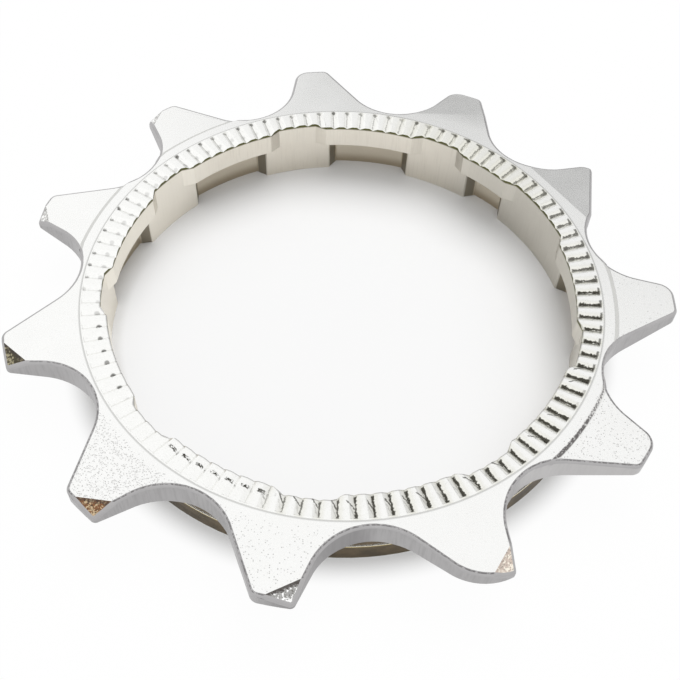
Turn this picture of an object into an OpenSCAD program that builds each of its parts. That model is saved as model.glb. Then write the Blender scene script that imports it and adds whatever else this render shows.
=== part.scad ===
// Smallest cog of a bicycle cassette: one steel piece with hooked teeth, a serrated
// face ring on top, a spacer collar below and a splined bore. Millimetres, +Z is up.
// The cog lies on its collar, with the bore's axis on Z.

/* [Chain and teeth] */
// Number of teeth
teeth = 11; // [11:1:13]
// Pitch of the chain
chain_pitch = 12.7; // [12.6:0.05:12.8]
// Diameter of the chain's rollers
roller_d = 7.75; // [7.6:0.05:7.9]
// Extra radius of a roller seat over the roller
seat_play = 0.22; // [0.1:0.02:0.3]
// Height of the tooth tips over the pitch circle
tip_over_pitch = 0.91; // [0.7:0.01:1.1]
// Lean of the steep drive flank from the seat's middle line
drive_lean = 29; // [27:1:31]
// Lean of the long back flank from the seat's middle line
back_lean = 48; // [46:1:49]
// Rounding of the drive corner of a plain tip
drive_round = 1.2; // [0.9:0.05:1.4]
// Rounding of the drive corner of a ground tip
ground_round = 0.35; // [0.2:0.05:0.5]
// Rounding of the back corner of a tip
back_round = 0.7; // [0.4:0.05:0.9]
// Angle of the first seat around the axis
first_seat = 12.4; // [0:0.1:32]

/* [Toothed plate] */
// Height of the plate's upper face over the collar's foot
plate_top = 4.8; // [4.4:0.05:5.2]
// Thickness of the plate at the seats
plate_t = 2.05; // [1.8:0.05:2.2]
// Thickness of the teeth at their tips
tip_t = 1.15; // [1:0.05:1.4]
// Reach of the plain boss around the ring past the collar below it
boss_over = 0.5; // [0.4:0.05:0.7]

/* [Ground teeth] */
// Turn of a ground tip corner from its tooth's middle, towards the drive flank
corner_turn = 36.5; // [34:0.5:39]
// Inset of the corner's upper edge from the tip circle, along its fall
corner_in = 4.63; // [4.5:0.01:4.75]
// Slope of a ground tip corner
corner_slope = 35; // [25:1:45]
// Turn of the broad flat of the second tooth
broad_turn = 25; // [22:1:28]
// Inset of the broad flat's upper edge from the tip circle, along its fall
broad_in = 4.85; // [4.4:0.05:4.95]
// Turn of the long flat of the first tooth
long_turn = 4; // [0:1:8]
// Inset of the long flat's upper edge from the tip circle, along its fall
long_in = 4.4; // [4.2:0.05:4.5]
// Slope of the broad flat and the long flat
shift_slope = 7; // [4:1:10]
// Turn of the upright cut that shortens the first tooth
short_turn = -39.5; // [-42:0.5:-37]
// Inset of that cut from the tip circle, along its fall
short_in = 6.3; // [6:0.05:6.4]
// Rounding of the corner that the cut leaves on the tip
short_round = 1.4; // [1:0.05:1.6]
// Depth of the relieved face of four teeth
relief_depth = 0.15; // [0.06:0.01:0.2]

/* [Serrated ring] */
// Number of serrations around the ring
serrations = 100; // [90:1:104]
// Angle of the first serration around the axis
first_notch = 1.7; // [0:0.1:3.6]
// Inset of the ring's outer edge from the collar's radius
ring_in = 0.3; // [0.2:0.05:0.5]
// Height of the ring over the plate's face
ring_rise = 0.06; // [0.04:0.01:0.1]
// Fall of the ring's face from its outer to its inner edge
ring_dish = 0.1; // [0.06:0.01:0.2]
// Width of the ring's plain rim outside the serrations
ring_rim = 0.1; // [0.05:0.01:0.2]
// Depth of a serration at the ring's rim
notch_outer = 0.15; // [0.12:0.01:0.16]
// Depth of a serration at the bore
notch_inner = 0.18; // [0.16:0.01:0.2]
// Slope of a serration's steep side
notch_steep = 36; // [35:1:50]
// Slope of a serration's long side
notch_long = 25; // [25:1:30]

/* [Collar] */
// Radius of the spacer collar
collar_r = 18.5; // [18.4:0.05:18.55]
// Thickness of the collar behind a spline pocket
collar_wall = 0.85; // [0.75:0.05:0.95]
// Bevel of the collar's foot
collar_bevel = 0.15; // [0.1:0.01:0.2]
// Height of the shallow groove around the collar
groove_z = 1.75; // [1.5:0.05:1.9]
// Width of that groove
groove_w = 0.25; // [0.2:0.05:0.4]
// Depth of that groove
groove_depth = 0.2; // [0.15:0.01:0.25]

/* [Splined bore] */
// Number of splines
splines = 9; // [9:1:9]
// Depth of the spline pockets under the lands
spline_depth = 0.8; // [0.7:0.05:0.9]
// Step from the lands in to the bore's upper lip
lip_step = 0.43; // [0.35:0.02:0.5]
// Height of the lip
lip_t = 1.95; // [1.7:0.05:2.1]
// Angle where the first pocket ends
pocket_end = 53; // [50:0.5:56]
// Width of a pocket at the lands, in degrees
pocket_w = 22.3; // [21:0.1:23]
// Width of the one narrow pocket that sets the cog's turn on its hub
key_w = 12.2; // [11:0.1:14]
// Lean of a pocket's sides, in degrees from its mouth to its floor
pocket_lean = 2.2; // [1.5:0.1:3]
// Gap from a pocket's end to the opening of the lip over a land
lip_gap = 1; // [0.5:0.1:1.5]
// Lean of the ends of a lip opening, in degrees
lip_lean = 2.8; // [2:0.1:3.5]

/* [Hidden] */
$fn = 96;
// Overlap of a cutter past the face it opens
past = 0.5;
// How far a round reaches over the line or round that it runs into
blend = 0.003;
tooth_step = 360 / teeth;
pitch_r = chain_pitch / (2 * sin(180 / teeth));
root_r = pitch_r - roller_d / 2;
seat_r = roller_d / 2 + seat_play;
seat_x = root_r + seat_r;
tip_r = pitch_r + tip_over_pitch;
plate_z = plate_top - plate_t;
// The bore and the ring are measured inwards from the collar
pocket_r = collar_r - collar_wall;
land_r = pocket_r - spline_depth;
lip_r = land_r - lip_step;
ring_r = collar_r - ring_in;
boss_r = collar_r + boss_over;
// The blank is turned wider than the tips, which the tooth outline then trims
blank_r = tip_r + 1;
tip_rise = (plate_t - tip_t) / (tip_r - boss_r);
ring_top = plate_top + ring_rise;
lip_z = plate_top - lip_t;
spline_step = 360 / splines;
// Teeth with a small ground corner, counted around from the first tooth
corner_teeth = [3, 4, 5, 6, 7, 8];
long_tooth = 0;
broad_tooth = 1;
// Teeth whose face lies a little lower than the boss around the ring
relief_teeth = [3, 4, teeth - 2, teeth - 1];

function at(r, a) = [r * cos(a), r * sin(a)];
function unit(v) = v / norm(v);

// Half-section of the collar, with its bevelled foot and shallow groove
module collar_blank() {
    groove_r = collar_r - groove_depth;
    rotate_extrude()
        polygon([
            [land_r, 0],
            [collar_r - collar_bevel, 0],
            [collar_r, collar_bevel],
            [collar_r, groove_z],
            [groove_r, groove_z],
            [groove_r, groove_z + groove_w],
            [collar_r, groove_z + groove_w],
            [collar_r, plate_z],
            [land_r, plate_z]
        ]);
}

// Half-section of the plate, with its tapered rim, the dished ring and the lip of the bore
module plate_blank() {
    rotate_extrude()
        polygon([
            [land_r, plate_z],
            [boss_r, plate_z],
            [blank_r, plate_z + tip_rise * (blank_r - boss_r)],
            [blank_r, plate_top],
            [ring_r, plate_top],
            [ring_r, ring_top],
            [lip_r, ring_top - ring_dish],
            [lip_r, lip_z],
            [land_r, lip_z]
        ]);
}

// Rounding of a tooth's drive corner
function drive_corner(tooth) = len(search(tooth, corner_teeth)) > 0 ? ground_round : drive_round;

// The waste outside a round corner, between the outward directions of the two sides that meet there
module corner_waste(centre, r, side_a, side_b) {
    clear = r + past;
    difference() {
        translate(centre)
            polygon([[0, 0], clear * side_a, clear * (side_a + side_b), clear * side_b]);
        translate(centre) circle(r + blend);
    }
}

// One side of a tooth gap, from the seat's middle line out past the tips. side is 1 for the
// back flank and -1 for the drive flank; lean is the flank's angle from the middle line.
module gap_side(side, lean, round_r) {
    along = [cos(lean), side * sin(lean)];
    away = [-sin(lean), side * cos(lean)];
    foot = [seat_x, 0] + (seat_r - blend) * away;
    // Centre of the tip corner's rounding: one radius in from the flank and from the tip circle
    start = foot + round_r * away;
    middle = start * along;
    reach = sqrt(pow(tip_r - round_r, 2) - start * start + middle * middle) - middle;
    centre = start + reach * along;
    polygon([[seat_x, 0], foot, foot + (reach + round_r + past) * along, [blank_r + past, 0]]);
    corner_waste(centre, round_r, -away, unit(centre));
}

// Plan of the toothed plate: the tip circle less one roller seat and two flanks for each gap
module tooth_plan() {
    difference() {
        circle(tip_r);
        for (i = [0 : teeth - 1])
            rotate(first_seat + i * tooth_step) {
                translate([seat_x, 0]) circle(seat_r);
                gap_side(-1, drive_lean, drive_corner((i + teeth - 1) % teeth));
                gap_side(1, back_lean, back_round);
            }
    }
}

// The slice of the cog that holds one tooth, from seat to seat
module tooth_slice(tooth) {
    from = first_seat + tooth * tooth_step;
    linear_extrude(2 * plate_top)
        polygon([[0, 0], at(2 * tip_r, from), at(2 * tip_r, from + tooth_step)]);
}

// A flat ground off the upper face of one tooth
module ground_flat(tooth, turn, inset, slope) {
    middle = first_seat + (tooth + 0.5) * tooth_step;
    intersection() {
        tooth_slice(tooth);
        rotate([0, 0, middle + turn])
            translate([tip_r - inset, 0, plate_top])
                rotate([0, slope, 0])
                    translate([0, -tip_r, 0])
                        cube([tip_r, 2 * tip_r, plate_top]);
    }
}

// The upright cut that shortens the first tooth, from the seat beside it out past its tip
module short_cut() {
    turn = first_seat + (long_tooth + 0.5) * tooth_step + short_turn;
    cut = tip_r - short_in;
    seat_side = seat_x * sin(-0.5 * tooth_step - short_turn);
    // Centre of the rounding: one radius in from the cut and from the tip circle
    middle = cut - short_round;
    centre = [middle, sqrt(pow(tip_r - short_round, 2) - middle * middle)];
    rotate(turn)
        linear_extrude(2 * plate_top) {
            translate([cut, seat_side]) square([tip_r, tip_r]);
            corner_waste(centre, short_round, [1, 0], unit(centre));
        }
}

// The slightly lower face of a tooth outside the ring
module relieved_face(tooth) {
    intersection() {
        tooth_slice(tooth);
        translate([0, 0, plate_top - relief_depth])
            difference() {
                cylinder(h = plate_t, r = blank_r + past);
                translate([0, 0, -past]) cylinder(h = plate_t + 2 * past, r = boss_r);
            }
    }
}

// One V-shaped serration: a steep side and a long side, deeper towards the bore
module serration() {
    end_r = ring_r - ring_rim;
    tilt = atan((ring_dish + notch_inner - notch_outer) / (end_r - lip_r));
    long = end_r - lip_r + past;
    rise = notch_inner + ring_rise;
    translate([end_r, 0, ring_top - notch_outer])
        rotate([0, -tilt, 0])
            translate([-long, 0, 0])
                rotate([90, 0, 90])
                    linear_extrude(long)
                        polygon([[0, 0], [rise / tan(notch_steep), rise], [-rise / tan(notch_long), rise]]);
}

// Plan of a recess in the bore between two angles, out to radius r, with sides that lean
// inwards by so many degrees between the mouth's radius and r
module bore_recess(from, to, mouth_r, r, lean) {
    side_a = at(r, from + lean) - at(mouth_r, from);
    side_b = at(r, to - lean) - at(mouth_r, to);
    intersection() {
        circle(r);
        polygon([
            at(mouth_r, from) - side_a,
            at(r, from + lean) + side_a,
            at(r, to - lean) + side_b,
            at(mouth_r, to) - side_b
        ]);
    }
}

// Width of pocket i: the first one is the narrow key
function pocket_width(i) = i == 0 ? key_w : pocket_w;

// Blind pockets for the hub's splines, open at the collar's foot and closed by the lip
module spline_pockets() {
    translate([0, 0, -past])
        linear_extrude(lip_z + past)
            for (i = [0 : splines - 1])
                bore_recess(pocket_end + i * spline_step - pocket_width(i), pocket_end + i * spline_step,
                            land_r, pocket_r, pocket_lean);
}

// Openings that carry the lands up through the lip
module lip_openings() {
    translate([0, 0, lip_z - past])
        linear_extrude(lip_t + 2 * past)
            for (i = [0 : splines - 1])
                bore_recess(pocket_end + (i - 1) * spline_step + lip_gap,
                            pocket_end + i * spline_step - pocket_width(i) - lip_gap,
                            lip_r, land_r, lip_lean);
}

module cassette_cog() {
    color([0.80, 0.79, 0.76])
        difference() {
            union() {
                collar_blank();
                intersection() {
                    plate_blank();
                    linear_extrude(ring_top + past) tooth_plan();
                }
            }
            for (i = corner_teeth) ground_flat(i, corner_turn, corner_in, corner_slope);
            ground_flat(broad_tooth, broad_turn, broad_in, shift_slope);
            ground_flat(long_tooth, long_turn, long_in, shift_slope);
            short_cut();
            for (i = relief_teeth) relieved_face(i);
            spline_pockets();
            lip_openings();
            for (i = [0 : serrations - 1]) rotate([0, 0, first_notch + i * 360 / serrations]) serration();
        }
}

cassette_cog();
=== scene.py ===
import math

import bmesh
import bpy
from mathutils import Matrix, Vector


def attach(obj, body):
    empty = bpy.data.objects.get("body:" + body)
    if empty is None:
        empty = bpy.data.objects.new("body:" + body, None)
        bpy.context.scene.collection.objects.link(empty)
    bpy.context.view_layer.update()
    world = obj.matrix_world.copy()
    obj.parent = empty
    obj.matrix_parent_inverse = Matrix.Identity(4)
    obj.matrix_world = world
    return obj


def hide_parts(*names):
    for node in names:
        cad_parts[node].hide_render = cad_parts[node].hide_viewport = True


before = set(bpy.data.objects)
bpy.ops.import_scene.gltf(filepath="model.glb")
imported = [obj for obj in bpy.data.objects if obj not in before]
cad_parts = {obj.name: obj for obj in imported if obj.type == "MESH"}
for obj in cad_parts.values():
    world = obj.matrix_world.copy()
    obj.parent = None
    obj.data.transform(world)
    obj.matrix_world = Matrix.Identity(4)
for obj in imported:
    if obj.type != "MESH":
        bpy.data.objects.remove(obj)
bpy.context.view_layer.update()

# The cog
# The smallest cog of a bicycle's cassette: one piece of steel, forged and turned, with teeth
# milled around it, a splined bore broached through it and a serrated ring pressed into its face.
# It is plated all over, tumbled so that its edges are slightly round, and it lies on its collar.
MM = 0.001
FACE, FLANK, BORE, COLLAR, GROUND, RING, STEP, EDGE = range(8)
# Heights and radii that tell the parts of the cog from each other
PLATE_UNDERSIDE = 2.75 * MM
OUTLINE_LOWEST = 3.2 * MM
RING_LOWEST = 4.4 * MM
STEP_LOWEST = 4.6 * MM
STEP_HALFWAY = 4.7 * MM
BORE_REACH = 17.9 * MM
RING_REACH = 18.22 * MM
OUTLINE_INNERMOST = 18.3 * MM
COLLAR_RADIUS = 18.5 * MM
STEP_RADIUS = 19.0 * MM
NEAR = 0.05 * MM
# How much a face looks upwards, or away from the axis, where 1 is straight
LEVEL = 0.97
FLAT = 0.7
SLOPED = 0.6
SERRATED = 0.3
OUTWARD = 0.9
ROUND_WALL = 0.999
# The least share of round wall around a point that takes its lean from that wall
WALL_SHARE = 0.7
# Rounding of the teeth's upper edges and of all the other edges, and what counts as an edge
TOOTH_EDGE = 0.22 * MM
FINE_EDGE = 0.03 * MM
SHARP_TURN = math.radians(18)
FLAT_TURN = math.radians(5)
# Run of a low step, and the most of an edge that its foot may slide along
STEP_RUN = 0.3 * MM
LEAST_OUTWARD = 0.5
MOST_SLIDE = 0.8
# The worn tip: the angles of its tooth and of the seat beside it, how far out its wear may start,
# and the middle, as seen from that seat, the radius and the leans of its round corner
WORN_TOOTH = math.radians(290.6)
WORN_SEAT = math.radians(274.2)
WORN_DEPTH = 21 * MM
WORN_MIDDLE = Vector((18.73, 6.87, 0)) * MM
WORN_ROUND = 3.5 * MM
WORN_LEANS = [math.radians(lean) for lean in range(-38, 18, 6)]
# Flat faces are joined only within a sector, so that none of them closes into a ring, and only
# where they lie in one plane
SECTORS = 22
SAME_PLANE = math.radians(0.1)
SAME_PLACE = 0.0005 * MM

cog_mesh = bpy.data.meshes.new("cog")
cog = bpy.data.objects.new("cog", cog_mesh)
bpy.context.scene.collection.objects.link(cog)
steel = bmesh.new()
steel.from_mesh(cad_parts["cassette_cog"].data)
bmesh.ops.remove_doubles(steel, verts=steel.verts, dist=SAME_PLACE)
for face in steel.faces:
    middle = face.calc_center_median()
    face.material_index = int((math.atan2(middle.y, middle.x) / math.tau % 1) * SECTORS)
bmesh.ops.dissolve_limit(steel, angle_limit=SAME_PLANE, use_dissolve_boundaries=False,
                         verts=steel.verts, edges=steel.edges, delimit={"MATERIAL"})


def from_axis(point):
    """The level way from the bore's axis to a point."""
    return Vector((point.x, point.y, 0))


def finish_of(face):
    """Which finish a face of the cog has, from where it lies and where it looks."""
    middle = face.calc_center_median()
    radius = math.hypot(middle.x, middle.y)
    look = face.normal
    outwards = look.dot(from_axis(middle).normalized())
    if radius < RING_REACH and middle.z > RING_LOWEST and (look.z > SERRATED or radius > BORE_REACH):
        return RING
    if look.z > LEVEL or look.z < -FLAT:
        return FACE
    if abs(radius - STEP_RADIUS) < NEAR and middle.z > STEP_LOWEST and outwards > OUTWARD:
        return STEP
    if look.z > SLOPED:
        return GROUND
    if radius < BORE_REACH:
        return BORE
    if radius < COLLAR_RADIUS + NEAR and middle.z < PLATE_UNDERSIDE:
        return COLLAR
    return FLANK


def middle_of(edge):
    """The point halfway along an edge."""
    return (edge.verts[0].co + edge.verts[1].co) / 2


def on_outline(edge):
    """Whether an edge runs between a tooth's flank and its upper face or a ground corner."""
    middle = middle_of(edge)
    flat = [face.normal.z > FLAT for face in edge.link_faces]
    outside = math.hypot(middle.x, middle.y) > OUTLINE_INNERMOST
    return flat[0] != flat[1] and middle.z > OUTLINE_LOWEST and outside


def beside_flat(edge):
    """Whether an edge is the upper edge of a broad flat, ground on a tooth's face at a slight slope."""
    middle = middle_of(edge)
    level = all(face.normal.z > LEVEL for face in edge.link_faces)
    return level and math.hypot(middle.x, middle.y) > COLLAR_RADIUS


def sharp_edges(wanted, turn=SHARP_TURN):
    """The edges of that kind at which the surface turns by more than an angle."""
    return [edge for edge in steel.edges
            if len(edge.link_faces) == 2 and edge.calc_face_angle(0) > turn and wanted(edge)]


def cut(faces, place, way, clear):
    """Cuts faces along a plane, and takes away what lies beyond it if clear is set."""
    parts = faces + [part for face in faces for part in (*face.edges, *face.verts)]
    return bmesh.ops.bisect_plane(steel, geom=list(dict.fromkeys(parts)), dist=SAME_PLACE,
                                  plane_co=place, plane_no=way, clear_outer=clear)["geom_cut"]


steel.normal_update()
for face in steel.faces:
    face.material_index = finish_of(face)

# The foot of each low step is drawn outwards, so that the step slopes and runs out into the outline
steps = [face for face in steel.faces if face.material_index == STEP]
step_feet = {vert for face in steps for vert in face.verts if vert.co.z < STEP_HALFWAY}
slides = []
for vert in step_feet:
    outwards = from_axis(vert.co).normalized()
    way = outwards
    for edge in vert.link_edges:
        if {face.material_index for face in edge.link_faces} == {FACE, FLANK}:
            along_edge = edge.other_vert(vert).co - vert.co
            way = along_edge.normalized() / max(along_edge.normalized().dot(outwards), LEAST_OUTWARD)
            way = way * min(1, MOST_SLIDE * along_edge.length / (way.length * STEP_RUN))
    slides.append((vert, way * STEP_RUN))
for vert, slide in slides:
    vert.co += slide

# One tooth at the front is worn: the back corner of its tip is much rounder than on the others.
# The tip's faces are split off across the tooth, trimmed by planes around the corner, and joined
# to the tooth's faces again.
tip_way = Vector((math.cos(WORN_TOOTH), math.sin(WORN_TOOTH), 0))
from_seat = Matrix.Rotation(WORN_SEAT, 3, "Z")
tip = [face for face in steel.faces if any(vert.co.dot(tip_way) > WORN_DEPTH for vert in face.verts)]
seam = cut(tip, tip_way * WORN_DEPTH, tip_way, False)
for lean in WORN_LEANS:
    away = from_seat @ Vector((math.cos(lean), math.sin(lean), 0))
    tip = [face for face in steel.faces if face.calc_center_median().dot(tip_way) > WORN_DEPTH]
    cut(tip, from_seat @ WORN_MIDDLE + away * WORN_ROUND, away, True)
    mouth = [edge for edge in steel.edges if edge.is_boundary]
    for face in bmesh.ops.contextual_create(steel, geom=mouth)["faces"]:
        face.material_index = FLANK
seam = [part for part in seam if part.is_valid]
bmesh.ops.dissolve_limit(steel, angle_limit=SAME_PLANE, use_dissolve_boundaries=False,
                         verts=[part for part in seam if isinstance(part, bmesh.types.BMVert)],
                         edges=[part for part in seam if isinstance(part, bmesh.types.BMEdge)],
                         delimit={"MATERIAL"})

# The teeth's upper edges are rounded first, and then all the edges that are still sharp
steel.normal_update()
rounded = bmesh.ops.bevel(steel, geom=sharp_edges(on_outline), offset=TOOTH_EDGE,
                          offset_type="OFFSET", affect="EDGES", segments=4, profile=0.5, material=-1,
                          clamp_overlap=False)
for face in rounded["faces"]:
    face.material_index = EDGE
steel.normal_update()
steel.edges.index_update()
fine = set(sharp_edges(lambda edge: True)) | set(sharp_edges(beside_flat, FLAT_TURN))
bmesh.ops.bevel(steel, geom=sorted(fine, key=lambda edge: edge.index), offset=FINE_EDGE,
                offset_type="OFFSET", affect="EDGES", segments=2, profile=0.5, material=-1,
                clamp_overlap=False)
bmesh.ops.remove_doubles(steel, verts=steel.verts, dist=SAME_PLACE)
steel.normal_update()

# Each point leans with its largest faces, and on the round walls it looks to or from the axis
areas, on_round = {}, {}
for face in steel.faces:
    face.smooth = True
    areas[face] = face.calc_area()
    look = abs(face.normal.dot(from_axis(face.calc_center_median()).normalized()))
    on_round[face] = look > ROUND_WALL and face.material_index in (BORE, COLLAR)
leans = []
for vert in steel.verts:
    lean = sum((face.normal * areas[face] for face in vert.link_faces), Vector())
    on_wall = sum(areas[face] for face in vert.link_faces if on_round[face])
    if on_wall > WALL_SHARE * sum(areas[face] for face in vert.link_faces):
        lean = from_axis(vert.co) * lean.dot(from_axis(vert.co))
    leans.append(lean.normalized())
steel.to_mesh(cog_mesh)
steel.free()
cog_mesh.normals_split_custom_set_from_vertices(leans)
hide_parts("cassette_cog")
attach(cog, "root")

# Plated faces
# Bright nickel plating on the faces of the teeth and the underside. Tumbling left it satin, with
# fine grey pits on some of the teeth. A thin grey line of dirt and painted shade lies in the
# corner around the ring.
TOOTH_ANGLES = {1: 93.7, 2: 61.0, 3: 28.3, 4: -4.4, 5: -37.2, 6: -69.9, 7: -102.6, 8: -135.4,
                9: -168.1, 10: 159.2, 11: 126.5}
PITTED = {8: 1.0, 5: 0.4, 7: 0.3, 4: 0.12}
PITS_PER_MM = 10.5
PITS_FROM, PITS_FULL = 18.5, 19.1
RING_LINE_FROM, RING_LINE_FULL = 18.36, 18.26
SILVER = (0.875, 0.875, 0.86, 1)
PALE_SILVER = (0.92, 0.92, 0.91, 1)
DULL_SILVER = (0.79, 0.79, 0.775, 1)
RING_DIRT_AND_SHADE_GREY = (0.42, 0.42, 0.405, 1)
PIT_GREY = (0.33, 0.325, 0.315, 1)


class Wire:
    """A socket in a finish, which takes part in sums."""

    def __init__(self, tree, socket=None):
        self.tree = tree
        self.socket = socket

    def node(self, kind, settings, sockets, out=0):
        """Adds a node of any kind and gives back one of its outputs."""
        made = self.tree.nodes.new(kind)
        for name, value in settings.items():
            if name == "stops":
                while len(made.color_ramp.elements) < len(value):
                    made.color_ramp.elements.new(0.5)
                for element, (place, shade) in zip(made.color_ramp.elements, value):
                    element.position = place
                    element.color = shade
            else:
                setattr(made, name, value)
        for name, value in sockets.items():
            if isinstance(value, Wire):
                self.tree.links.new(value.socket, made.inputs[name])
            else:
                made.inputs[name].default_value = value
        return Wire(self.tree, made.outputs[out])

    def other(self, out):
        """Another output of the node that this comes from."""
        return Wire(self.tree, self.socket.node.outputs[out])

    def math(self, operation, first, second=0.0):
        return self.node("ShaderNodeMath", {"operation": operation}, {0: first, 1: second})

    def __add__(self, other):
        return self.math("ADD", self, other)

    def __sub__(self, other):
        return self.math("SUBTRACT", self, other)

    def __rsub__(self, other):
        return self.math("SUBTRACT", other, self)

    def __mul__(self, other):
        return self.math("MULTIPLY", self, other)

    def __mod__(self, other):
        return self.math("FLOORED_MODULO", self, other)

    def __abs__(self):
        return self.math("ABSOLUTE", self)

    __radd__ = __add__
    __rmul__ = __mul__

    def most(self, other):
        return self.math("MAXIMUM", self, other)

    def step(self, low, high):
        """0 at low, 1 at high and a smooth rise between; low may be the larger."""
        return self.node("ShaderNodeMapRange", {"interpolation_type": "SMOOTHSTEP"},
                         {"Value": self, "From Min": low, "From Max": high})

    def band(self, low, high, fade):
        """1 from low to high, fading out over fade on both sides."""
        return self.step(low - fade, low) * self.step(high + fade, high)

    def blend(self, first, second):
        """A colour that goes from first to second as this goes from 0 to 1."""
        return self.node("ShaderNodeMix", {"data_type": "RGBA"}, {0: self, 6: first, 7: second}, 2)

    def noise(self, size, detail=3.0, roughness=0.55, stretch=(1, 1, 1)):
        """Soft noise with spots of about that size in mm, drawn out along the axes by stretch."""
        place = self.node("ShaderNodeVectorMath", {"operation": "DIVIDE"}, {0: self, 1: stretch})
        return self.node("ShaderNodeTexNoise", {}, {"Vector": place, "Scale": 1 / size,
                                                    "Detail": detail, "Roughness": roughness})


class Finish:
    """A material of the cog: its shader, and the places on the cog in mm as wires."""

    def __init__(self, name):
        self.material = bpy.data.materials.new(name)
        self.material.use_nodes = True
        tree = self.material.node_tree
        self.shader = tree.nodes["Principled BSDF"]
        start = Wire(tree).node("ShaderNodeTexCoord", {}, {}, "Object")
        self.place = start.node("ShaderNodeVectorMath", {"operation": "SCALE"},
                                {0: start, "Scale": 1 / MM})
        self.x = self.place.node("ShaderNodeSeparateXYZ", {}, {0: self.place})
        self.y = self.x.other("Y")
        self.z = self.x.other("Z")
        self.radius = self.x.math("SQRT", self.x * self.x + self.y * self.y)
        self.angle = self.x.math("ARCTAN2", self.y, self.x) * math.degrees(1)
        cog_mesh.materials.append(self.material)

    def near_angle(self, middle, reach, fade):
        """1 within reach degrees of an angle around the axis, fading out over fade degrees."""
        return abs((self.angle - middle + 180) % 360 - 180).step(reach + fade, reach)

    def set(self, **sockets):
        """Sets sockets of the shader to numbers or colours, or links wires to them."""
        for name, value in sockets.items():
            socket = self.shader.inputs[name.replace("_", " ")]
            if isinstance(value, Wire):
                value.tree.links.new(value.socket, socket)
            else:
                socket.default_value = value

    def bump(self, height, strength, depth):
        """Bump with heights from 0 to 1 that stand for so many mm."""
        self.set(Normal=height.node("ShaderNodeBump", {}, {"Strength": strength, "Distance": depth * MM,
                                                           "Height": height}))


face_finish = Finish("plated_face")
grain = face_finish.place.noise(0.14, 4)
cloud = face_finish.place.noise(2.6, 2)
clump = face_finish.place.noise(0.7, 2)
pit_size = face_finish.place.node("ShaderNodeTexVoronoi", {"feature": "F1"},
                                  {"Vector": face_finish.place, "Scale": PITS_PER_MM,
                                   "Randomness": 1.0}, "Distance")
pit_kind = pit_size.node("ShaderNodeSeparateColor", {}, {0: pit_size.other("Color")})
pitted = sum(face_finish.near_angle(TOOTH_ANGLES[tooth], 12, 4) * share
             for tooth, share in PITTED.items())
pitted = pitted * face_finish.radius.step(PITS_FROM, PITS_FULL)
pits = (pit_kind + pitted * (clump * 0.7 + 0.12)).step(0.98, 1.06) * pit_size.step(0.6, 0.2)
# A thin grey line in the corner around the ring's outer edge: dirt and painted shade
ring_dirt_and_shade = face_finish.radius.step(RING_LINE_FROM, RING_LINE_FULL) * face_finish.z.step(4.0, 4.5)
silver = cloud.blend(SILVER, PALE_SILVER)
silver = grain.step(0.6, 0.8).blend(silver, DULL_SILVER)
silver = (ring_dirt_and_shade * 0.6).blend(silver, RING_DIRT_AND_SHADE_GREY)
face_finish.set(Base_Color=(pits * 0.62).blend(silver, PIT_GREY), Metallic=1.0,
                Roughness=grain * 0.14 + cloud * 0.06 + pits * 0.2 + 0.18)
face_finish.bump(grain * 0.6 + (1 - pits) * 0.4, 0.22, 0.005)

# Milled flanks
# The sides of the teeth and the seats of the chain's rollers, milled and then plated thinly, so
# the steel is greyer here and the cutter's upright lines still show. One flank at the front right
# is painted lighter, a painted reflection of the white card, and one at the front is painted
# darker as painted shade.
FLANK_GREY = (0.36, 0.352, 0.355, 1)
PALE_FLANK = (0.45, 0.442, 0.442, 1)
CUTTER_LINE = (0.28, 0.275, 0.275, 1)
REFLECTION_SIDE, REFLECTION_FLANK = TOOTH_ANGLES[5] - 8, (0.58, 0.57, 0.565, 1)
SHADE_SIDE, SHADE_FLANK = TOOTH_ANGLES[7] + 9, (0.25, 0.242, 0.245, 1)
flank_finish = Finish("milled_flank")
lines = flank_finish.place.noise(0.16, 3, stretch=(1, 1, 12))
smear = flank_finish.place.noise(1.7, 2)
grey = smear.blend(FLANK_GREY, PALE_FLANK)
grey = (lines.step(0.4, 0.75) * 0.4).blend(grey, CUTTER_LINE)
# Painted reflection: a lighter flank at the front right
grey = (flank_finish.near_angle(REFLECTION_SIDE, 7, 7) * 0.6).blend(grey, REFLECTION_FLANK)
# Painted shade: a darker flank at the front
grey = (flank_finish.near_angle(SHADE_SIDE, 5, 5) * 0.8).blend(grey, SHADE_FLANK)
flank_finish.set(Base_Color=grey, Metallic=1.0, Roughness=lines * 0.12 + smear * 0.06 + 0.27)
flank_finish.bump(lines, 0.15, 0.005)

# Broached bore
# The wall of the bore with its lands and pockets, broached upright. It holds a thin film of old
# oil, which makes the steel look warm. The right wall is painted darker as painted shade and the
# left wall lighter as painted light, the pockets are painted darker as painted shade, most at
# their sides and feet, and a thin band just under the ring's edge is painted darkest.
WARM_STEEL = (0.80, 0.75, 0.66, 1)
PALE_WARM_STEEL = (0.865, 0.825, 0.74, 1)
BROACH_MARK = (0.56, 0.52, 0.45, 1)
SHADED_RIGHT_WALL = (0.53, 0.515, 0.47, 1)
LIT_LEFT_WALL = (0.93, 0.89, 0.805, 1)
SHADED_POCKET_FLOOR = (0.76, 0.695, 0.575, 1)
SHADED_POCKET_FOOT = (0.50, 0.43, 0.325, 1)
SHADED_POCKET_SIDE = (0.30, 0.27, 0.215, 1)
RIM_DARK_BAND = (0.12, 0.118, 0.05, 1)
bore_finish = Finish("broached_bore")
marks = bore_finish.place.noise(0.14, 3, stretch=(1, 1, 16))
film = bore_finish.place.noise(2.2, 3)
under_lip = bore_finish.z.step(2.95, 2.8)
pocket = bore_finish.radius.step(17.4, 17.6) * under_lip
pocket_side = bore_finish.radius.band(16.98, 17.5, 0.06) * under_lip
warm = film.blend(WARM_STEEL, PALE_WARM_STEEL)
warm = (marks.step(0.45, 0.8) * 0.2).blend(warm, BROACH_MARK)
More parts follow.
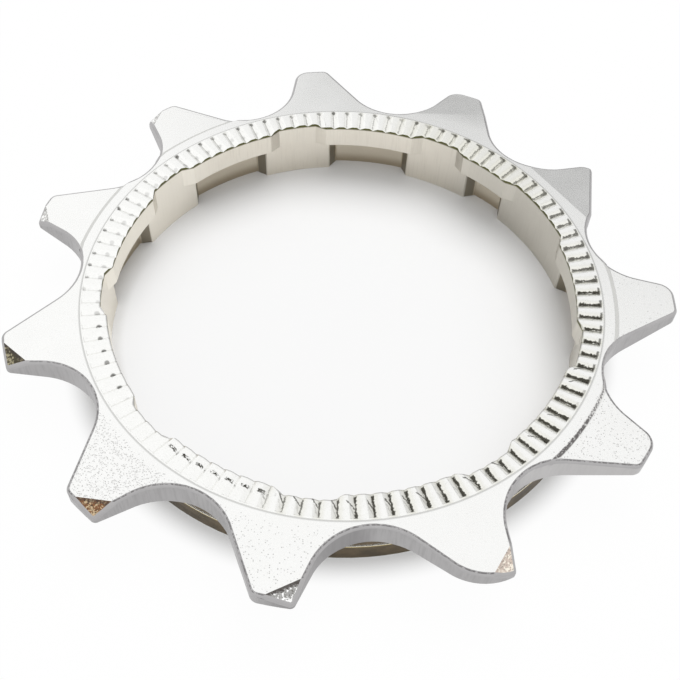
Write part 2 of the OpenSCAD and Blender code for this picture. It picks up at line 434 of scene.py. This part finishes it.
# Painted shade on the right wall and painted light on the left wall
warm = (bore_finish.near_angle(15, 30, 25) * 0.6).blend(warm, SHADED_RIGHT_WALL)
warm = (bore_finish.near_angle(168, 30, 15) * 0.7).blend(warm, LIT_LEFT_WALL)
# Painted shade in the pockets, deeper at their feet and along their sides
warm = pocket.blend(warm, SHADED_POCKET_FLOOR)
warm = (pocket * bore_finish.z.step(1.1, 0.1)).blend(warm, SHADED_POCKET_FOOT)
warm = pocket_side.blend(warm, SHADED_POCKET_SIDE)
# A thin dark band painted just under the ring's edge
warm = bore_finish.z.step(4.45, 4.6).blend(warm, RIM_DARK_BAND)
bore_finish.set(Base_Color=warm, Metallic=1.0, Roughness=marks * 0.12 + film * 0.08 + 0.3)
bore_finish.bump(marks, 0.12, 0.005)

# Collar
# The turned collar under the teeth, which spaces the cog from the next one. It is stained brown
# by oil and painted darker still as painted shade under the teeth, with fine turned lines and a
# painted highlight along the lip of its groove.
STAIN_AND_SHADE_BROWN = (0.075, 0.056, 0.03, 1)
PALE_STAIN_AND_SHADE = (0.145, 0.105, 0.056, 1)
TURNED_LINE = (0.22, 0.185, 0.115, 1)
FOOT_BROWN = (0.24, 0.215, 0.13, 1)
GROOVE_LIP_HIGHLIGHT = (0.52, 0.42, 0.19, 1)
collar_finish = Finish("stained_and_shaded_collar")
turned = collar_finish.place.noise(0.5, 3, stretch=(24, 24, 0.25))
stain = collar_finish.place.noise(1.4, 3)
# Brown of the oil stain, painted darker as painted shade under the teeth
brown = stain.step(0.3, 0.7).blend(STAIN_AND_SHADE_BROWN, PALE_STAIN_AND_SHADE)
brown = (turned.step(0.5, 0.75) * 0.45).blend(brown, TURNED_LINE)
brown = collar_finish.z.step(0.28, 0.14).blend(brown, FOOT_BROWN)
# A painted highlight along the lip of the groove
brown = collar_finish.z.band(1.69, 1.75, 0.05).blend(brown, GROOVE_LIP_HIGHLIGHT)
collar_finish.set(Base_Color=brown, Metallic=1.0, Roughness=turned * 0.2 + 0.3)
collar_finish.bump(turned, 0.3, 0.008)

# Ground corners
# The tip corners that were ground off to let the chain climb. They have no plating and a coarse
# broken grain, and each has its own tint of oil and rust, darkest along its upper edge.
CORNER_TINTS = {8: (0.22, 0.105, 0.05, 1), 9: (0.075, 0.066, 0.042, 1),
                7: (0.36, 0.355, 0.345, 1), 6: (0.60, 0.51, 0.445, 1)}
CORNER_GLINTS = {8: (0.56, 0.43, 0.27, 1), 9: (0.40, 0.36, 0.24, 1),
                 7: (0.97, 0.97, 0.96, 1), 6: (0.88, 0.82, 0.72, 1)}
PLAIN_TINT = (0.50, 0.495, 0.48, 1)
PLAIN_GLINT = (0.93, 0.93, 0.915, 1)
CORNER_TURN = 4
CORNER_SOIL, SOILED_CORNERS = 0.55, {8: 0.3, 9: 0.3}
CORNER_EDGE, DARK_EDGES = 0.35, {8: 0.3, 9: 0.4, 7: 0.5, 6: -0.2}
CORNER_TOP = 4.72
SOIL_BROWN = (0.05, 0.042, 0.03, 1)
UPPER_EDGE = (0.06, 0.05, 0.045, 1)
ground_finish = Finish("ground_corner")
crumbs = ground_finish.place.noise(0.2, 2, 0.7)
flecks = ground_finish.place.noise(0.11, 2, 0.6)
tint, glint = PLAIN_TINT, PLAIN_GLINT
on_corner = {}
for tooth in CORNER_TINTS:
    on_corner[tooth] = ground_finish.near_angle(TOOTH_ANGLES[tooth] + CORNER_TURN, 9, 4)
    tint = on_corner[tooth].blend(tint, CORNER_TINTS[tooth])
    glint = on_corner[tooth].blend(glint, CORNER_GLINTS[tooth])
soil = sum(on_corner[tooth] * share for tooth, share in SOILED_CORNERS.items()) + CORNER_SOIL
dark_edge = sum(on_corner[tooth] * share for tooth, share in DARK_EDGES.items()) + CORNER_EDGE
towards_tip = ground_finish.z.step(CORNER_TOP, 4.25)
upper_edge = (ground_finish.z + (flecks - 0.5) * 0.35).step(4.62, CORNER_TOP) * dark_edge
broken = (crumbs + towards_tip * 0.12).step(0.54, 0.62).blend(tint, glint)
broken = (flecks.step(0.55, 0.64) * soil).blend(broken, SOIL_BROWN)
broken = upper_edge.blend(broken, UPPER_EDGE)
ground_finish.set(Base_Color=broken, Metallic=0.8, Roughness=crumbs * 0.3 + 0.3)
ground_finish.bump(crumbs, 0.8, 0.035)

# Serrated ring
# The ring that the next cog is clamped on, with pressed serrations that stop it turning. The
# lands are bright and a little swollen. Along the bottoms of the serrations lie dark lines of dirt
# and painted shade, strongest from the front round by the right to the back and missing at the
# back left; the dots, blots and ticks are dirt.
SERRATION_STEP = 3.6
FIRST_SERRATION = 1.7
SERRATION_TURN = math.radians(SERRATION_STEP)
# The bore's lands cut into the ring's inner edge: their angles and depth, and the lip's radius
LAND_STEP = 40
FIRST_LAND = 14
LAND_FROM, LAND_TO, LAND_LEAN = 2.8, 12.9, 2.8
LAND_CUT = 0.43
BORE_LIP = 16.42
# How dark the lines of dirt and painted shade are, by the share of a full turn around the axis
LINE_STRENGTH = [(0.0, 0.9), (0.04, 0.84), (0.09, 0.75), (0.16, 0.58), (0.26, 0.28), (0.42, 0.0),
                 (0.69, 0.0), (0.715, 0.7), (0.76, 0.95), (0.93, 0.97)]
LINE_MIDDLE = 0.05
OUTER_DOT_RADIUS = 18.0
INNER_DOT_RADIUS = 17.03
BLOT_TURN = 0.83
LAND_SILVER = (0.90, 0.90, 0.88, 1)
PALE_LAND = (0.94, 0.94, 0.925, 1)
SPECK_GREY = (0.70, 0.69, 0.68, 1)
EDGE_GREY = (0.30, 0.295, 0.29, 1)
OIL_YELLOW = (0.61, 0.59, 0.455, 1)
DIRT_AND_SHADE = (0.042, 0.039, 0.028, 1)
ring_finish = Finish("serrated_ring")
speck = ring_finish.place.noise(0.11, 3, 0.6)
wander = ring_finish.place.noise(0.35, 2)
ragged = ring_finish.place.noise(0.13, 3, 0.7)
# A place on the ring: its radius, how far it lies across its serration, and a number that chance
# gives to that serration
along = ring_finish.radius
count = (ring_finish.angle - FIRST_SERRATION) * (1 / SERRATION_STEP) + 0.5
phase = count % 1.0 - 0.5
across = phase * SERRATION_TURN * along + (wander - 0.5) * 0.16 + (ragged - 0.5) * 0.26
chance = count.node("ShaderNodeTexWhiteNoise", {"noise_dimensions": "1D"},
                    {"W": count.math("FLOOR", count)}, "Value")
astray = chance - 0.5
over_land = ((ring_finish.angle - FIRST_LAND) % LAND_STEP).band(LAND_FROM, LAND_TO, LAND_LEAN)
from_bore = along - over_land * LAND_CUT - BORE_LIP
# Dark lines of dirt and painted shade from the bore to the rim, thicker at both ends, with a hair
# line beside them
stops = [(place, (shade, shade, shade, 1)) for place, shade in LINE_STRENGTH]
strength = along.node("ShaderNodeValToRGB", {"stops": stops},
                      {0: (ring_finish.angle % 360) * (1 / 360)})
swollen = abs(from_bore - 0.85).step(0.1, 0.75) * (chance * 0.5 + 0.5)
heavy = ring_finish.near_angle(315, 27, 10)
half_line = strength * strength * (swollen * 0.065 + 0.035 + heavy * 0.01)
dark_line = (abs(across - LINE_MIDDLE) - half_line).step(0.05, 0.005)
dark_line = dark_line * from_bore.step(0.06, 0.2) * along.step(18.17, 18.02)
hair_line = abs(across + (18.0 - along) * 0.36 + 0.02).step(0.05, 0.02)
hair_line = hair_line * along.band(17.3, 17.85, 0.12)
# A thin fork off the lines at the front, and off some of them at the front right
forked = ring_finish.near_angle(308, 28, 8) * chance.step(0.45, 0.6)
forked = ring_finish.near_angle(269, 13, 6).most(forked)
fork = abs(across - 0.03 + (17.5 - along) * (chance * 0.5 + 0.45)).step(0.075, 0.03)
fork = fork * along.band(16.9, 17.4, 0.1) * forked


def dot(sideways, outwards, half_width, half_length):
    """A soft uneven spot of dirt of that size in mm, from how far a place is from its middle."""
    off_side, off_end = sideways * (1 / half_width), outwards * (1 / half_length)
    off = along.math("SQRT", off_side * off_side + off_end * off_end)
    return (off + (ragged - 0.5) * 1.8).step(1.3, 0.7)


# Dots at the back and the left, torn blots at the front left and short ticks at the right
outer_dot = dot(across - 0.04 + astray * 0.12, along - OUTER_DOT_RADIUS - astray * 0.12, 0.15, 0.13)
outer_dot = outer_dot * (chance * 0.5 + 0.65) * ring_finish.near_angle(104, 70, 12)
inner_dot = dot(across - astray * 0.3, along - INNER_DOT_RADIUS + astray * 0.22, 0.16, 0.18)
dotted = (ring_finish.near_angle(201, 11, 3) * 0.75).most(ring_finish.near_angle(150, 30, 14) * 0.3)
inner_dot = inner_dot * (chance * 0.6 + 0.6) * dotted
inner_row = (along + (ragged - 0.5) * 0.3).band(16.96, 17.1, 0.07)
blot_phase = (phase + BLOT_TURN) % 1.0 - 0.5
blot = abs(blot_phase * SERRATION_TURN * along + (ragged - 0.5) * 0.5).step(0.3, 0.2)
blot = blot * inner_row * speck.step(0.4, 0.5) * ring_finish.near_angle(242, 12, 2)
outer_tick = (along + (ragged - 0.5) * 0.2).band(17.98, 18.08, 0.06) * across.band(0.0, 0.36, 0.12)
outer_tick = outer_tick * ring_finish.near_angle(18, 40, 16) * 0.75
# Dirt and painted shade together, all in one dark colour
dirt_and_shade = (strength * (dark_line + hair_line * 0.3)).most(fork * 0.8).most(outer_tick)
dirt_and_shade = dirt_and_shade.most(outer_dot * 0.62).most(inner_dot).most(blot)
# Bright lands, with specks, a grey inner edge at the front and a film of oil by the lines
inner_edge = from_bore.step(0.12, 0.03) * ring_finish.near_angle(270, 75, 20)
oil = strength * abs(across - LINE_MIDDLE).step(0.5, 0.05) * 0.36
oil = oil + ring_finish.near_angle(52, 14, 16) * 0.22
land = wander.blend(LAND_SILVER, PALE_LAND)
land = (speck.step(0.57, 0.72) * 0.5).blend(land, SPECK_GREY)
land = (inner_edge * 0.65).blend(land, EDGE_GREY)
land = oil.blend(land, OIL_YELLOW)
ring_finish.set(Base_Color=dirt_and_shade.blend(land, DIRT_AND_SHADE), Metallic=1.0,
                Roughness=speck * 0.14 + dirt_and_shade * 0.2 + 0.22)
ring_finish.bump(speck * 0.5 + wander * 0.5, 0.4, 0.012)

# Relieved steps
# The low steps beside the boss on four teeth, where a tool took a little off the face. They slope
# out into the outline, and on the tooth at the front right the tool left a dark torn line.
STEP_FROM, STEP_TO = 4.69, 4.76
STEP_GREY = (0.66, 0.66, 0.64, 1)
TORN_GREY = (0.15, 0.142, 0.14, 1)
PALE_STEP = (0.78, 0.775, 0.76, 1)
step_finish = Finish("relieved_step")
torn = step_finish.place.noise(0.14, 3, 0.65)
beside_tooth = step_finish.near_angle(TOOTH_ANGLES[5], 14, 6)
darkest = step_finish.near_angle(TOOTH_ANGLES[5] - 9, 5, 12)
halfway = (step_finish.z + (torn - 0.5) * 0.08).band(STEP_FROM, STEP_TO, 0.04)
torn_line = (torn + 0.3 - halfway * 0.3 - darkest * 0.14).step(0.36, 0.62).blend(TORN_GREY, PALE_STEP)
step_finish.set(Base_Color=beside_tooth.blend(STEP_GREY, torn_line), Metallic=1.0,
                Roughness=torn * 0.3 + 0.3)
step_finish.bump(torn, 0.6, 0.02)

# Worn edges
# The rounded edges between the faces and the flanks, made by tumbling. The plating is thin there,
# and they are painted as grey as the flanks, partly for that wear and partly as a painted dark
# reflection, with a broken line of painted dark reflection along the upper side at the front.
WORN_REFLECTION_GREY = (0.38, 0.372, 0.375, 1)
PALE_WORN_REFLECTION = (0.48, 0.472, 0.472, 1)
DARK_REFLECTION_LINE = (0.09, 0.085, 0.085, 1)
edge_finish = Finish("worn_edge_dark_reflection")
nicks = edge_finish.place.noise(0.2, 3, 0.65)
polish = edge_finish.place.noise(1.1, 2)
edge_look = nicks.node("ShaderNodeNewGeometry", {}, {}, "Normal")
upwards = edge_look.node("ShaderNodeSeparateXYZ", {}, {0: edge_look}, "Z")
# A broken line of painted dark reflection on the upper side of the edges at the front
dark_reflection_line = upwards.band(0.86, 0.96, 0.05) * nicks.step(0.4, 0.56)
dark_reflection_line = dark_reflection_line * edge_finish.near_angle(268, 60, 25)
edge_grey = polish.blend(WORN_REFLECTION_GREY, PALE_WORN_REFLECTION)
edge_finish.set(Base_Color=(dark_reflection_line * 0.7).blend(edge_grey, DARK_REFLECTION_LINE), Metallic=1.0,
                Roughness=nicks * 0.14 + polish * 0.06 + 0.25)
edge_finish.bump(nicks, 0.2, 0.006)

# The floor
# A plain sheet of white card that the cog lies on. It is white to the camera well away from the
# cog and keeps the soft shadow around and inside it. Inside the bore its front part is painted
# partly white to the camera as well, a painted light that lightens the shadow there.
FLOOR_HALF = 2.0
SHADOW_RADIUS, WHITE_RADIUS = 17.5 * MM, 20.5 * MM
BORE_RIM, BORE_INSIDE = 16.6 * MM, 15.8 * MM
FLOOR_FRONT = (-3 * MM, -6.5 * MM, 0)
FRONT_RIM, FRONT_INSIDE = 20 * MM, 10 * MM
CARD_GREY = (0.58, 0.58, 0.58, 1)
INNER_WHITE = (0.95, 0.95, 0.95, 1)
WHITE = (1, 1, 1, 1)
floor_mesh = bpy.data.meshes.new("floor")
card = bmesh.new()
bmesh.ops.create_grid(card, x_segments=1, y_segments=1, size=FLOOR_HALF)
card.to_mesh(floor_mesh)
card.free()
floor = bpy.data.objects.new("floor", floor_mesh)
bpy.context.scene.collection.objects.link(floor)
paper = bpy.data.materials.new("white_card")
paper.use_nodes = True
floor_mesh.materials.append(paper)
sheet = paper.node_tree.nodes
paper_shader = sheet["Principled BSDF"]
paper_shader.inputs["Base Color"].default_value = CARD_GREY
paper_shader.inputs["Roughness"].default_value = 0.9
paper_shader.inputs["Specular IOR Level"].default_value = 0.0
lit_card = Wire(paper.node_tree, paper_shader.outputs[0])
spot = lit_card.node("ShaderNodeTexCoord", {}, {}, "Object")
camera_ray = spot.node("ShaderNodeLightPath", {}, {}, "Is Camera Ray")
shown = camera_ray.most(camera_ray.other("Is Glossy Ray")).most(camera_ray.other("Is Transmission Ray"))
from_middle = spot.node("ShaderNodeVectorMath", {"operation": "LENGTH"}, {0: spot}, "Value")
from_front = spot.node("ShaderNodeVectorMath", {"operation": "DISTANCE"},
                       {0: spot, 1: FLOOR_FRONT}, "Value")
outside = from_middle.step(SHADOW_RADIUS, WHITE_RADIUS)
# Painted light: the front of the card inside the bore glows partly white to the camera
inside = from_front.step(FRONT_RIM, FRONT_INSIDE) * from_middle.step(BORE_RIM, BORE_INSIDE)
plain = shown * (outside * 0.97).most(inside * 0.8)
glow = outside.blend(INNER_WHITE, WHITE)
white = spot.node("ShaderNodeEmission", {}, {"Color": glow, "Strength": 1.0})
mixed = spot.node("ShaderNodeMixShader", {}, {0: plain, 1: lit_card, 2: white})
paper.node_tree.links.new(mixed.socket, sheet["Material Output"].inputs["Surface"])

# Light
# A white studio, bright all round, with one grey screen at the back right for the steel to mirror.
# A soft lamp behind the cog, hidden from its reflections, casts the shadow on the card.
STUDIO_LEVEL = 1.06
SCREEN_SHADE = 0.62
LEFT_LIFT = 0.02
LAMP_SIZE = 0.5
LAMP_WATTS = 2.9
LAMP_PLACE = (0.10, 0.26, 0.5)
world = bpy.data.worlds.new("studio")
bpy.context.scene.world = world
world.use_nodes = True
studio = world.node_tree.nodes
direction = Wire(world.node_tree).node("ShaderNodeTexCoord", {}, {}, "Generated")
sideways = direction.node("ShaderNodeSeparateXYZ", {}, {0: direction})
depth, height = sideways.other("Y"), sideways.other("Z")
screen = height.step(0.24, 0.36) * height.step(0.78, 0.52) * depth.step(0.2, 0.4)
screen = screen * sideways.step(-0.12, 0.0) * sideways.step(0.72, 0.52)
around = STUDIO_LEVEL - screen * SCREEN_SHADE + sideways.step(-0.05, -0.16) * LEFT_LIFT
to_camera = direction.node("ShaderNodeLightPath", {}, {}, "Is Camera Ray")
level = around + to_camera * (1 - around)
world.node_tree.links.new(level.socket, studio["Background"].inputs["Strength"])
studio["Background"].inputs["Color"].default_value = WHITE

lamp_data = bpy.data.lights.new("soft_lamp", "AREA")
lamp_data.shape = "DISK"
lamp_data.size = LAMP_SIZE
lamp_data.energy = LAMP_WATTS
lamp = bpy.data.objects.new("soft_lamp", lamp_data)
lamp.location = LAMP_PLACE
lamp.visible_glossy = False
lamp.rotation_euler = (-lamp.location).to_track_quat("-Z", "Y").to_euler()
bpy.context.scene.collection.objects.link(lamp)

# Camera
# The photograph's own view: from the front, about fifty degrees up and close to the cog, in a
# square frame. The lens is as long as the photograph's, measured in its pixels.
FOCAL_PIXELS = 994.7
FRAME_PIXELS = 680
SENSOR = 36
CAMERA_PLACE = (-1.87 * MM, -44.76 * MM, 58.66 * MM)
CAMERA_TURNS = (143.46, -1.38, 0.28)
turn_x, turn_y, turn_z = (Matrix.Rotation(math.radians(turn), 3, axis)
                          for turn, axis in zip(CAMERA_TURNS, "XYZ"))
looking = (turn_z @ turn_y @ turn_x).transposed() @ Matrix.Diagonal((1, -1, -1))
camera_data = bpy.data.cameras.new("camera")
camera_data.sensor_width = SENSOR
camera_data.lens = FOCAL_PIXELS / FRAME_PIXELS * SENSOR
camera_data.clip_start = 0.002
camera_data.clip_end = 20
camera = bpy.data.objects.new("camera", camera_data)
camera.matrix_world = Matrix.Translation(CAMERA_PLACE) @ looking.to_4x4()
bpy.context.scene.collection.objects.link(camera)
bpy.context.scene.camera = camera
bpy.context.scene.view_settings.view_transform = "Standard"
